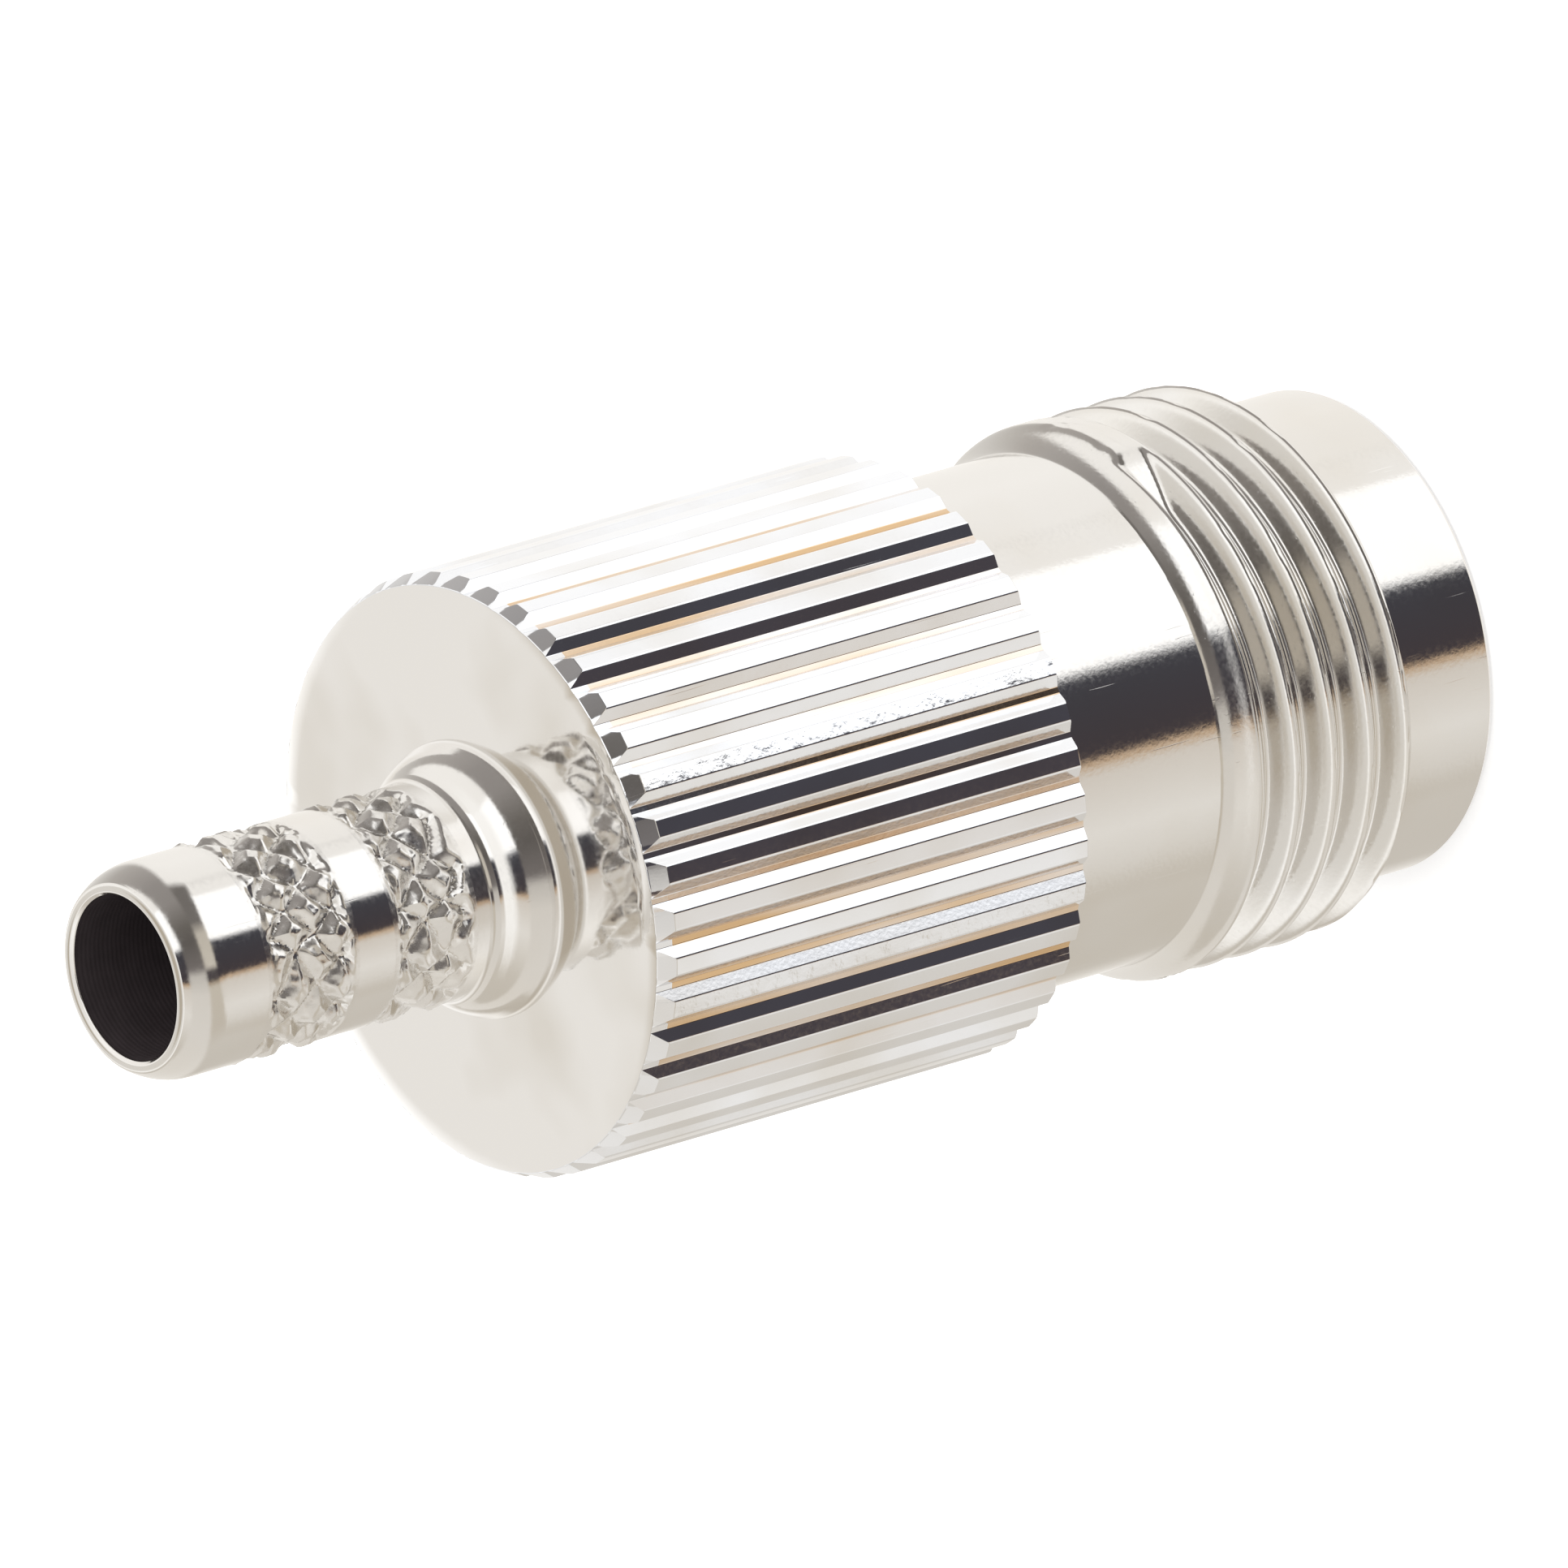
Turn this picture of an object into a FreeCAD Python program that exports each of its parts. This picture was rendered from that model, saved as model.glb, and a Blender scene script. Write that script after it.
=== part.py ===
import FreeCAD, Part
import math
import os

# A straight coaxial jack that is crimped on to a cable: a plated shell with an outside thread and a
# grooved grip, a knurled crimp spigot, an insulator and a slotted centre contact. Millimetres.
# Z is the axis. The mating rim is at Z = 0 and the mouth of the crimp spigot is at the top.

# Shell, outside, from the mating rim upwards
pilot_radius = 4.80
pilot_length = 2.40
rim_chamfer = 0.12
thread_radius = 5.54
thread_length = 3.90
thread_chamfer = 0.30
run_out_length = 0.70
neck_radius = 5.10
neck_length = 3.90
grip_radius = 5.97
grip_length = 10.40
grip_rear_chamfer_length = 0.36
grip_rear_chamfer_depth = 0.17

# Thread: right-handed, with flat crests and roots. The last groove ends bluntly at its own place.
thread_pitch = 0.907
thread_depth = 0.50
thread_crest_width = 0.113
thread_flank_angle = 60
thread_cut_margin = 0.06
last_groove_from_cone = 0.24
last_groove_azimuth = 323

# Grooves of the grip: a V with a narrow flat floor
groove_count = 41
groove_depth = 0.18
groove_width = 0.45
groove_floor_width = 0.05

# Shell, inside, from the mating rim upwards
socket_entry_radius = 4.19
socket_entry_length = 3.10
socket_radius = 4.065
socket_taper_length = 0.20
socket_depth = 8.40
seat_radius = 3.50
seat_length = 6.60
rear_bore_radius = 2.50

# Insulator
press_clearance = 0.01
post_radius = 2.415
post_length = 5.00
post_edge = 0.10
seat_edge = 0.20
pocket_depth = 2.50
pocket_lip_length = 0.35
pocket_lip_depth = 0.07
pocket_mouth_radius = 1.60

# Centre contact
contact_radius = 1.05
contact_recess = 0.05
contact_clearance = 0.02
contact_edge = 0.15
pin_bore_radius = 0.69
pin_bore_depth = 4.60
pin_bore_chamfer = 0.12
finger_slot_width = 0.20
finger_slot_length = 4.00
collar_radius = 1.35
collar_length = 0.80
pot_radius = 1.15
pot_length = 5.50
pot_bore_radius = 0.51
pot_bore_depth = 4.00
pot_chamfer = 0.10
drill_point_angle = 118
sight_hole_radius = 0.30
sight_hole_height = 1.60

# Crimp spigot
spigot_radius = 2.15
spigot_length = 8.40
cable_bore_radius = 1.625
cable_bore_chamfer = 0.08
lip_radius = 1.845
nose_length = 0.46
shank_chamfer = 0.20
chamber_radius = 1.95
chamber_length = 4.50
bead_radius = 2.75
bead_land_length = 0.66
bead_flare_length = 0.42
knurl_height = 0.04
front_knurl_from_mouth = 5.07
front_knurl_length = 1.72
rear_knurl_from_mouth = 2.02
rear_knurl_length = 1.91

# Heights that follow from the sizes
thread_start = pilot_length
thread_end = thread_start + thread_length
neck_start = thread_end + run_out_length
grip_start = neck_start + neck_length
rear_face = grip_start + grip_length
seat_end = socket_depth + seat_length
mouth = rear_face + spigot_length
post_front = socket_depth - post_length
pocket_floor = seat_end - pocket_depth
collar_top = pocket_floor + collar_length

AXIS = FreeCAD.Vector(0, 0, 1)
CENTRE = FreeCAD.Vector(0, 0, 0)


def turned(section):
    """Return the solid that a closed section of radius and height pairs sweeps round the axis."""
    points = [FreeCAD.Vector(radius, 0, height) for radius, height in section]
    outline = Part.makePolygon(points + points[:1])
    return Part.Face(outline).revolve(CENTRE, AXIS, 360)


def thread_groove():
    """Return the helical bar that cuts the thread's groove.

    It starts below the thread's front face, where it is clear of the pilot and cuts nothing.
    """
    root_radius = thread_radius - thread_depth
    outer_radius = thread_radius + thread_cut_margin
    flank = math.tan(math.radians(thread_flank_angle / 2))
    crest_half = (thread_pitch - thread_crest_width) / 2
    root_half = crest_half - flank * thread_depth
    outer_half = crest_half + flank * thread_cut_margin
    corners = [
        FreeCAD.Vector(root_radius, 0, -root_half),
        FreeCAD.Vector(outer_radius, 0, -outer_half),
        FreeCAD.Vector(outer_radius, 0, outer_half),
        FreeCAD.Vector(root_radius, 0, root_half),
    ]
    outline = Part.makePolygon(corners + corners[:1])
    first_groove = thread_start - thread_pitch
    rise = thread_end - last_groove_from_cone - first_groove
    helix = Part.makeLongHelix(thread_pitch, rise, root_radius)
    groove = Part.Wire(helix.Edges).makePipeShell([outline], True, True)
    groove.rotate(CENTRE, AXIS, last_groove_azimuth - 360 * rise / thread_pitch)
    groove.translate(AXIS * first_groove)
    return groove


def grip_grooves():
    """Return the bars that cut the grooves, spaced evenly round the grip."""
    floor_radius = grip_radius - groove_depth
    flank = (groove_width - groove_floor_width) / 2 / groove_depth
    outer_radius = grip_radius + groove_depth
    outer_half = groove_floor_width / 2 + flank * (outer_radius - floor_radius)
    floor_half = groove_floor_width / 2
    corners = [
        FreeCAD.Vector(floor_radius, -floor_half, grip_start - groove_depth),
        FreeCAD.Vector(outer_radius, -outer_half, grip_start - groove_depth),
        FreeCAD.Vector(outer_radius, outer_half, grip_start - groove_depth),
        FreeCAD.Vector(floor_radius, floor_half, grip_start - groove_depth),
    ]
    outline = Part.makePolygon(corners + corners[:1])
    bar = Part.Face(outline).extrude(AXIS * (grip_length + 2 * groove_depth))
    bars = []
    for index in range(groove_count):
        copy = bar.copy()
        copy.rotate(CENTRE, AXIS, 360 * index / groove_count)
        bars.append(copy)
    return bars


def shell():
    """Return the shell: pilot, thread, neck, grooved grip and stepped bore."""
    entry_end = socket_entry_length + socket_taper_length
    body = turned([
        (socket_entry_radius + rim_chamfer, 0),
        (pilot_radius - rim_chamfer, 0),
        (pilot_radius, rim_chamfer),
        (pilot_radius, thread_start),
        (thread_radius - thread_chamfer, thread_start),
        (thread_radius, thread_start + thread_chamfer),
        (thread_radius, thread_end),
        (neck_radius, neck_start),
        (neck_radius, grip_start),
        (grip_radius, grip_start),
        (grip_radius, rear_face - grip_rear_chamfer_length),
        (grip_radius - grip_rear_chamfer_depth, rear_face),
        (rear_bore_radius, rear_face),
        (rear_bore_radius, seat_end),
        (seat_radius, seat_end),
        (seat_radius, socket_depth),
        (socket_radius, socket_depth),
        (socket_radius, entry_end),
        (socket_entry_radius, socket_entry_length),
        (socket_entry_radius, rim_chamfer),
    ])
    return body.cut(thread_groove()).cut(grip_grooves())


def insulator():
    """Return the insulator: the post in the socket, its seat and the pocket for the collar."""
    hole_radius = contact_radius + contact_clearance
    pocket_radius = collar_radius + contact_clearance
    lip_start = collar_top + contact_clearance
    lip_radius_inside = pocket_radius - pocket_lip_depth
    fit_radius = seat_radius - press_clearance
    return turned([
        (hole_radius, post_front),
        (post_radius - post_edge, post_front),
        (post_radius, post_front + post_edge),
        (post_radius, socket_depth),
        (fit_radius, socket_depth),
        (fit_radius, seat_end - seat_edge),
        (fit_radius - seat_edge, seat_end),
        (pocket_mouth_radius, seat_end),
        (pocket_mouth_radius, lip_start + pocket_lip_length),
        (lip_radius_inside, lip_start + pocket_lip_length),
        (lip_radius_inside, lip_start),
        (pocket_radius, lip_start),
        (pocket_radius, pocket_floor),
        (hole_radius, pocket_floor),
    ])


def centre_contact():
    """Return the contact: slotted fingers, collar and crimp pot with its sight hole."""
    front = post_front + contact_recess
    pot_top = collar_top + pot_length
    drill_slope = math.tan(math.radians(90 - drill_point_angle / 2))
    pin_bore_end = front + pin_bore_depth
    pot_bore_end = pot_top - pot_bore_depth
    contact = turned([
        (pin_bore_radius + pin_bore_chamfer, front),
        (contact_radius - contact_edge, front),
        (contact_radius, front + contact_edge),
        (contact_radius, pocket_floor),
        (collar_radius, pocket_floor),
        (collar_radius, collar_top),
        (pot_radius, collar_top),
        (pot_radius, pot_top),
        (pot_bore_radius + pot_chamfer, pot_top),
        (pot_bore_radius, pot_top - pot_chamfer),
        (pot_bore_radius, pot_bore_end),
        (0, pot_bore_end - pot_bore_radius * drill_slope),
        (0, pin_bore_end + pin_bore_radius * drill_slope),
        (pin_bore_radius, pin_bore_end),
        (pin_bore_radius, front + pin_bore_chamfer),
    ])
    half_length = contact_radius + contact_clearance
    slot_size = (2 * half_length, finger_slot_width, contact_recess + finger_slot_length)
    slot_corner = FreeCAD.Vector(-half_length, -finger_slot_width / 2, post_front)
    slot = Part.makeBox(*slot_size, slot_corner)
    cross_slot = slot.copy()
    cross_slot.rotate(CENTRE, AXIS, 90)
    sight_centre = FreeCAD.Vector(0, 0, pot_bore_end + sight_hole_height)
    sight_hole = Part.makeCylinder(sight_hole_radius, pot_radius * 2, sight_centre, FreeCAD.Vector(1, 0, 0))
    return contact.cut([slot, cross_slot, sight_hole])


def crimp_spigot():
    """Return the spigot: pressed shank, flared bead, tube with two raised knurl bands, coned nose."""
    chamber_end = seat_end + chamber_length
    bore_start = chamber_end + chamber_radius - cable_bore_radius
    bead_end = rear_face + bead_land_length
    fit_radius = rear_bore_radius - press_clearance
    front_knurl_start = mouth - front_knurl_from_mouth - front_knurl_length
    rear_knurl_start = mouth - rear_knurl_from_mouth - rear_knurl_length
    outside = [
        (fit_radius - shank_chamfer, seat_end),
        (fit_radius, seat_end + shank_chamfer),
        (fit_radius, rear_face),
        (bead_radius, rear_face),
        (bead_radius, bead_end),
        (spigot_radius, bead_end + bead_flare_length),
    ]
    bands = ((front_knurl_start, front_knurl_length), (rear_knurl_start, rear_knurl_length))
    for start, length in bands:
        outside.append((spigot_radius, start))
        outside.append((spigot_radius + knurl_height, start + knurl_height))
        outside.append((spigot_radius + knurl_height, start + length - knurl_height))
        outside.append((spigot_radius, start + length))
    nose = [
        (spigot_radius, mouth - nose_length),
        (lip_radius, mouth),
        (cable_bore_radius + cable_bore_chamfer, mouth),
        (cable_bore_radius, mouth - cable_bore_chamfer),
        (cable_bore_radius, bore_start),
        (chamber_radius, chamber_end),
        (chamber_radius, seat_end),
    ]
    return turned(outside + nose)


def main():
    pieces = {
        "shell": shell(),
        "insulator": insulator(),
        "centre_contact": centre_contact(),
        "crimp_spigot": crimp_spigot(),
    }
    os.makedirs("parts", exist_ok=True)
    for name, shape in pieces.items():
        shape.exportStep("parts/" + name + ".step")
        print(name, "valid", shape.isValid(), "solids", len(shape.Solids), "volume", round(shape.Volume, 3))


main()
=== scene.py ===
import math
from functools import partial

import bmesh
import bpy
from bpy.props import FloatProperty, FloatVectorProperty, IntProperty, PointerProperty
from mathutils import Matrix, Vector


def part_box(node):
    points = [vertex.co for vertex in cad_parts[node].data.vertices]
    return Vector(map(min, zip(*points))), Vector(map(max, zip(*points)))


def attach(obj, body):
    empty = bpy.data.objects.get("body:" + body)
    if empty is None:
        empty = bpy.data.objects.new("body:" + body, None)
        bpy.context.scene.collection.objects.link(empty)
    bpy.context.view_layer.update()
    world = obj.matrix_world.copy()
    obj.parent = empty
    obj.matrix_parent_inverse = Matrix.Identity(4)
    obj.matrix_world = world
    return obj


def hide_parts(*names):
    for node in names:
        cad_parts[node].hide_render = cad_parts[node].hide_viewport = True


bl_info = {
    "name": "Coaxial jack looks",
    "version": (1, 0, 0),
    "blender": (4, 5, 0),
    "location": "View3D > Sidebar > Coaxial jack",
    "description": "Builds the shell, knurled spigot, insulator and contact of a crimped coaxial jack",
    "category": "Object",
}

# The frame stands on its mating rim, with the axis on Z and the mouth of the spigot on top.
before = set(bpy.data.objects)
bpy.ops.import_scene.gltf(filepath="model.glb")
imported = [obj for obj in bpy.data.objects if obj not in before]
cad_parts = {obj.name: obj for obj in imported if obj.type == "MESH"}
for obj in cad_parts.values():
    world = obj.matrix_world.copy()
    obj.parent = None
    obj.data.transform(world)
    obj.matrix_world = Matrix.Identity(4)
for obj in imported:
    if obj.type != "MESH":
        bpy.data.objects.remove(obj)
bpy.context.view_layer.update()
RIM_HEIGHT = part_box("shell")[0].z
REAR_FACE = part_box("shell")[1].z
MOUTH_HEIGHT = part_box("crimp_spigot")[1].z
SEAT_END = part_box("crimp_spigot")[0].z

MILLIMETRE = 0.001
FULL_TURN = 2 * math.pi
MERGE_DISTANCE = 0.0004 * MILLIMETRE
SAME_HEIGHT = 0.0001 * MILLIMETRE
ARC_STEPS = 8
ARC_LEAD = 0.001 * MILLIMETRE
SMOOTH_ANGLE = math.radians(32)

# Grip: rows of the mesh that round the cone's edges, and come no closer than a quarter of the cone.
# The first lies inside the corner by a share of the rounding, and the others are a rounding further.
CONE_ROWS = 4
CONE_EDGE_DROP = 0.15
FACE_EDGE_DROP = 0.2
INNER_ROW = 1.5

# Thread: the flanks run between these shares of the pitch from a crest's middle, which leaves a crest
# flat of an eighth of the pitch and a root flat of a sixth. Above them the cone is slightly hollow.
FLANK_START = 0.06
FLANK_END = 0.42
CONE_HOLLOW = 1.5
FACE_RING_ROOM = 0.1 * MILLIMETRE
KNOCKS = 2.2  # to the millimetre, so 0.45 mm wide
KNOCK_RANGE = (0.56, 0.72)

# Knurl: grooves wander by a share of a diamond, and the border by shares of the margin
WANDERS = 1.1  # to the millimetre, so 0.9 mm wide, about a diamond
NOTCHES = 2.1  # to the millimetre, so 0.48 mm wide, half a diamond
NOTCH_DEPTH = 1.6
KNURL_DRIFT = 0.36
KNURL_WALL = (0.02, 0.34)
KNURL_ROUNDING = 0.25
MOST_OF_NOISE = (0.3, 0.7)

# Contact and spigot: a drill's point is 118 degrees, and the bore's painted shade starts just inside the
# mouth
HALF_DRILL_POINT = math.radians(59)
SIGHT_HOLE_SIDES = 48
BORE_SHADE_START = 1.5

# Patterns of the silver plate, as patches, grains and scratches to the millimetre
TARNISH_PATCHES = 0.35  # patches of 2.9 mm
MOST_TARNISH = 0.5
PLATE_GRAINS = 11.0  # grains of 0.09 mm, the grit of the polish, drawn as coarse as it needs to show
LEAST_ROUGH = 0.7
MOST_ROUGH = 1.4
HAIRLINES = (14.0, 14.0, 0.5)  # scratches 0.07 mm wide and 2 mm long
HAIRLINE_LEAN = (0.6, 0.5, 0.2)
HAIRLINE_DEPTH = 0.6
WORN_RIDGES = (-83.4, -127.3)  # degrees round the axis
HALF_RIDGE = 1.7
SCUFFS = 3.0  # torn spots of 0.33 mm
SCUFF_DEPTH = 22.0  # times the depth of the grain

# Painted shade in the grip's grooves, a warm tan: streaks 0.9 mm wide and 8 mm long. They reach up from the
# floor and fade, both in millimetres, and end a little more than the rear cone's length before the rear
# face.
GROOVE_SHADE_STREAKS = (1.1, 1.1, 0.12)
GROOVE_SHADE_RISE = 0.004
GROOVE_SHADE_FADE = 0.012
GROOVE_SHADE_END = 1.1

# Patterns of the other materials, to the millimetre
BORE_SHADE_PATCHES = 2.5  # patches of 0.4 mm
DRILL_MARKS = 3.0  # the wave texture gives a mark each 0.1 mm
WAXY_PATCHES = 1.5  # patches of 0.7 mm
TOOL_FEED = 0.12  # millimetres that the tool goes on in a turn
GOLD_PATCHES = 2.0  # patches of 0.5 mm
GOLD_GRAINS = 20.0  # grains of 0.05 mm

# Light from all round, the floor, and what the camera sees, in metres
FRONT_LEAN = 0.25
PANEL_STRENGTH = 1.4
DOME_STRENGTH = 0.6
PAPER_GLOW = 0.5
FLOOR_SIDES = 96
NEAREST = 0.01
FARTHEST = 10

# Kinds of node that are often used, and the kind of input that a value needs
MATH = "ShaderNodeMath"
MAP_RANGE = "ShaderNodeMapRange"
MIX = "ShaderNodeMix"
MIX_SHADER = "ShaderNodeMixShader"
NOISE = "ShaderNodeTexNoise"
COMBINE = "ShaderNodeCombineXYZ"
SEPARATE = "ShaderNodeSeparateXYZ"
MAPPING = "ShaderNodeMapping"
BACKGROUND = "ShaderNodeBackground"
SOCKET_KINDS = {
    int: "NodeSocketInt",
    float: "NodeSocketFloat",
    bpy.types.Material: "NodeSocketMaterial",
}


def length(name, description, millimetres):
    """Declare a length that the user sees in scene units, given here in millimetres."""
    return FloatProperty(
        name=name,
        description=description,
        default=millimetres * MILLIMETRE,
        unit="LENGTH",
        subtype="DISTANCE",
        precision=5,
    )


def linear(hex_colour):
    """Turn an sRGB hex value into the linear colour that Blender works in."""
    channels = [int(hex_colour[start:start + 2], 16) / 255 for start in (1, 3, 5)]
    return tuple(c / 12.92 if c <= 0.04045 else ((c + 0.055) / 1.055) ** 2.4 for c in channels)


def colour(name, description, hex_colour):
    """Declare a colour that the user can pick, given here as an sRGB hex value."""
    return FloatVectorProperty(
        name=name, description=description, default=linear(hex_colour), subtype="COLOR", min=0, max=1
    )


class ShellSizes(bpy.types.PropertyGroup):
    pilot_radius: length("Pilot radius", "Outside of the plain sleeve at the mating end", 4.80)
    pilot_length: length("Pilot length", "From the mating rim to the front of the thread", 2.40)
    rim_chamfer: length("Rim chamfer", "Chamfer on both edges of the mating rim", 0.12)
    neck_radius: length("Neck radius", "Plain turned neck between thread and grip", 5.10)
    neck_start: length("Neck start", "Height at which the cone behind the thread ends", 7.00)
    grip_start: length("Grip start", "Height of the shoulder in front of the grip", 10.90)
    corner: length("Corner", "Rounding that the tool leaves in the turned corners", 0.05)
    edge: length("Edge", "Rounding of the turned outer edges", 0.02)
    socket_entry_radius: length("Socket entry radius", "Bore just behind the mating rim", 4.19)
    socket_entry_length: length("Socket entry length", "Depth of the wider entry", 3.10)
    socket_radius: length("Socket radius", "Bore round the insulator's post", 4.065)
    socket_taper: length("Socket taper", "Length of the cone between the two bores", 0.20)
    socket_depth: length("Socket depth", "From the mating rim to the seat", 8.40)
    seat_radius: length("Seat radius", "Bore that the insulator is pressed into", 3.50)
    rear_bore_radius: length("Rear bore radius", "Bore that the spigot is pressed into", 2.50)
    columns_per_groove: IntProperty(
        name="Columns per groove", description="Mesh columns of the turned parts for each groove", default=6
    )


class GripSizes(bpy.types.PropertyGroup):
    radius: length("Grip radius", "Radius over the ridges", 5.969)
    count: IntProperty(name="Grooves", description="Straight grooves round the grip", default=41)
    depth: length("Groove depth", "From the ridges down to the groove floor", 0.18)
    width: length("Groove width", "Width of a groove at the ridges", 0.56)
    floor_width: length("Floor width", "Flat floor of a groove", 0.123)
    ridge_rounding: length("Ridge rounding", "Rounding of the ridges' long edges", 0.08)
    floor_rounding: length("Floor rounding", "Rounding at the foot of the groove walls", 0.03)
    front_chamfer: length("Front chamfer", "Small chamfer at the front shoulder", 0.05)
    rear_chamfer_length: length("Rear chamfer length", "Length of the cone at the rear face", 0.36)
    rear_chamfer_depth: length("Rear chamfer depth", "How far the cone comes in at the rear face", 0.17)
    edge: length("Edge", "Rounding of the cone's two edges", 0.02)
    face_ring_radius: length("Face ring radius", "Ring on the rear face where the grip's mesh ends", 5.30)


class ThreadSizes(bpy.types.PropertyGroup):
    major_radius: length("Major radius", "Radius over the crests", 5.54)
    depth: length("Thread depth", "From the crests down to the rounded root", 0.50)
    pitch: length("Pitch", "28 turns to the inch", 0.907)
    crest_height: length("Crest height", "Height of a crest where the helix crosses the X axis", 3.887)
    front_chamfer: length("Front chamfer", "Chamfer where the thread starts", 0.30)
    cone_start: length("Cone start", "Height at which the cone down to the neck begins", 6.30)
    last_groove: length("Last groove", "Height of the groove's middle where it ends bluntly", 6.06)
    run_out: length("Run-out", "Climb of the helix over which that end rises to full diameter", 0.04)
    crest_rounding: length("Crest rounding", "Rounding of the crests", 0.19)
    root_rounding: length("Root rounding", "Rounding of the roots", 0.12)
    dent_depth: length("Dent depth", "Depth of the knocks on the crests", 0.035)
    rows_per_pitch: IntProperty(name="Rows per pitch", description="Mesh rows for each turn", default=32)


class SpigotSizes(bpy.types.PropertyGroup):
    tube_radius: length("Tube radius", "Outside of the tube beside the knurl", 2.15)
    shank_radius: length("Shank radius", "Shank that is pressed into the shell", 2.49)
    shank_chamfer: length("Shank chamfer", "Lead-in of the shank", 0.20)
    bore_radius: length("Bore radius", "Bore that the cable goes into", 1.625)
    bore_chamfer: length("Bore chamfer", "Chamfer at the mouth of the bore", 0.08)
    lip_radius: length("Lip radius", "Outer edge of the flat lip at the mouth", 1.845)
    lip_rounding: length("Lip rounding", "Rounding of the lip's outer edge", 0.13)
    nose_length: length("Nose length", "Length of the cone behind the lip", 0.46)
    nose_rounding: length("Nose rounding", "Rounding between that cone and the tube", 1.45)
    chamber_radius: length("Chamber radius", "Wider bore round the contact's pot", 1.95)
    chamber_length: length("Chamber length", "Length of the wider bore", 4.50)
    bead_radius: length("Bead radius", "Outside of the bead against the rear face", 2.75)
    bead_land: length("Bead land", "From the rear face to where the bead leans in", 0.10)
    bead_rounding: length("Bead rounding", "Rounding of the bead's outer corner", 0.45)
    flare_radius: length("Flare radius", "Radius of the bead where the flare begins", 2.52)
    flare_start: length("Flare start", "From the rear face to where the flare begins", 0.60)
    flare_rounding: length("Flare rounding", "Rounding where the flare begins", 1.60)
    flare_length: length("Flare length", "From there down to the tube", 0.42)
    flare_foot: length("Flare foot", "Hollow rounding where the flare meets the tube", 0.45)


class KnurlSizes(bpy.types.PropertyGroup):
    front_start: length("Front band start", "Height of the band next to the bead", 22.91)
    front_end: length("Front band end", "Upper border of that band", 24.63)
    rear_start: length("Rear band start", "Height of the band next to the mouth", 25.77)
    rear_end: length("Rear band end", "Upper border of that band", 27.68)
    margin: length("Margin", "Room beyond the borders for their ragged edge", 0.14)
    proud: length("Proud", "How far the diamonds stand above the tube", 0.035)
    depth: length("Groove depth", "Depth of the grooves below the tube", 0.15)
    period: length("Axial period", "Distance between like diamonds along the axis", 1.04)
    crumple: length("Crumple", "Height of the torn and folded metal on the diamonds", 0.05)
    crumple_size: length("Crumple size", "Width of those folds", 0.40)
    count: IntProperty(name="Diamonds", description="Diamonds round the tube", default=13)
    columns_per_diamond: IntProperty(
        name="Columns per diamond", description="Mesh columns for each diamond", default=24
    )
    row_height: length("Row height", "Height of a mesh row in the bands", 0.045)


class InsulatorSizes(bpy.types.PropertyGroup):
    post_radius: length("Post radius", "Outside of the post in the socket", 2.415)
    post_front: length("Post front", "Height of the post's free end", 3.40)
    post_edge: length("Post edge", "Broken edge of the post", 0.10)
    seat_fit: length("Seat fit", "Room between insulator and seat", 0.01)
    seat_edge: length("Seat edge", "Broken edge at the rear", 0.20)
    pocket_floor: length("Pocket floor", "Height at which the contact's collar sits", 12.50)
    pocket_lip_length: length("Pocket lip length", "Length of the lip that holds the collar", 0.35)
    pocket_lip_depth: length("Pocket lip depth", "How far that lip comes in", 0.07)
    pocket_mouth_radius: length("Pocket mouth radius", "Opening at the rear", 1.60)
    contact_room: length("Contact room", "Clearance round the contact", 0.02)


class ContactSizes(bpy.types.PropertyGroup):
    radius: length("Contact radius", "Outside of the slotted end", 1.05)
    front: length("Front", "Height of the slotted end", 3.45)
    rounding: length("Rounding", "Rounding of the slotted end", 0.15)
    bore_radius: length("Pin bore radius", "Bore for the mating pin", 0.69)
    bore_depth: length("Pin bore depth", "Depth of that bore", 4.60)
    bore_chamfer: length("Pin bore chamfer", "Lead-in for the mating pin", 0.12)
    slot_width: length("Slot width", "Width of the slots between the fingers", 0.20)
    slot_length: length("Slot length", "Length of those slots", 4.00)
    collar_radius: length("Collar radius", "Collar that holds the contact", 1.35)
    collar_length: length("Collar length", "Length of the collar", 0.80)
    pot_radius: length("Pot radius", "Outside of the crimp pot", 1.15)
    pot_length: length("Pot length", "Length of the crimp pot", 5.50)
    pot_bore_radius: length("Pot bore radius", "Bore for the wire", 0.51)
    pot_bore_depth: length("Pot bore depth", "Depth of the wire's bore", 4.00)
    pot_chamfer: length("Pot chamfer", "Lead-in for the wire", 0.10)
    sight_hole_radius: length("Sight hole radius", "Hole through the pot's wall", 0.30)
    sight_hole_height: length("Sight hole height", "From the bore's end to the hole", 1.60)
    columns: IntProperty(name="Columns", description="Mesh columns round the contact", default=96)


class Finishes(bpy.types.PropertyGroup):
    # The turned, grip and faced plates are lit and shaded copies of one silver plate: the turned plate is
    # painted darker as shade, the grip's and faced plates brighter as painted light.
    turned: colour("Turned plate", "Silver plate on the turned metal", "#E4E2DF")
    grip: colour("Grip plate", "The brighter, cooler plate on the grip", "#F1F3F7")
    faced: colour("Faced plate", "The plate on the faced rear end", "#F7F6F5")
    tarnish: colour("Tarnish", "The plate where it has begun to tarnish", "#DCD7CE")
    # Groove: painted shade, a warm tan at the foot of the grip's grooves for the dim bounced light in them
    groove: colour("Groove", "Yellowed plate at the foot of the grip's grooves", "#DDBC92")
    # Bore: dull drilled metal painted dark brown as the shade deep in the tube
    bore: colour("Bore", "Dull drilled metal inside the tube", "#4C4446")
    fluoropolymer: colour("Fluoropolymer", "White insulator", "#F1F0EB")
    gold: colour("Gold", "Gold plate of the contact", "#EBC06A")


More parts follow.
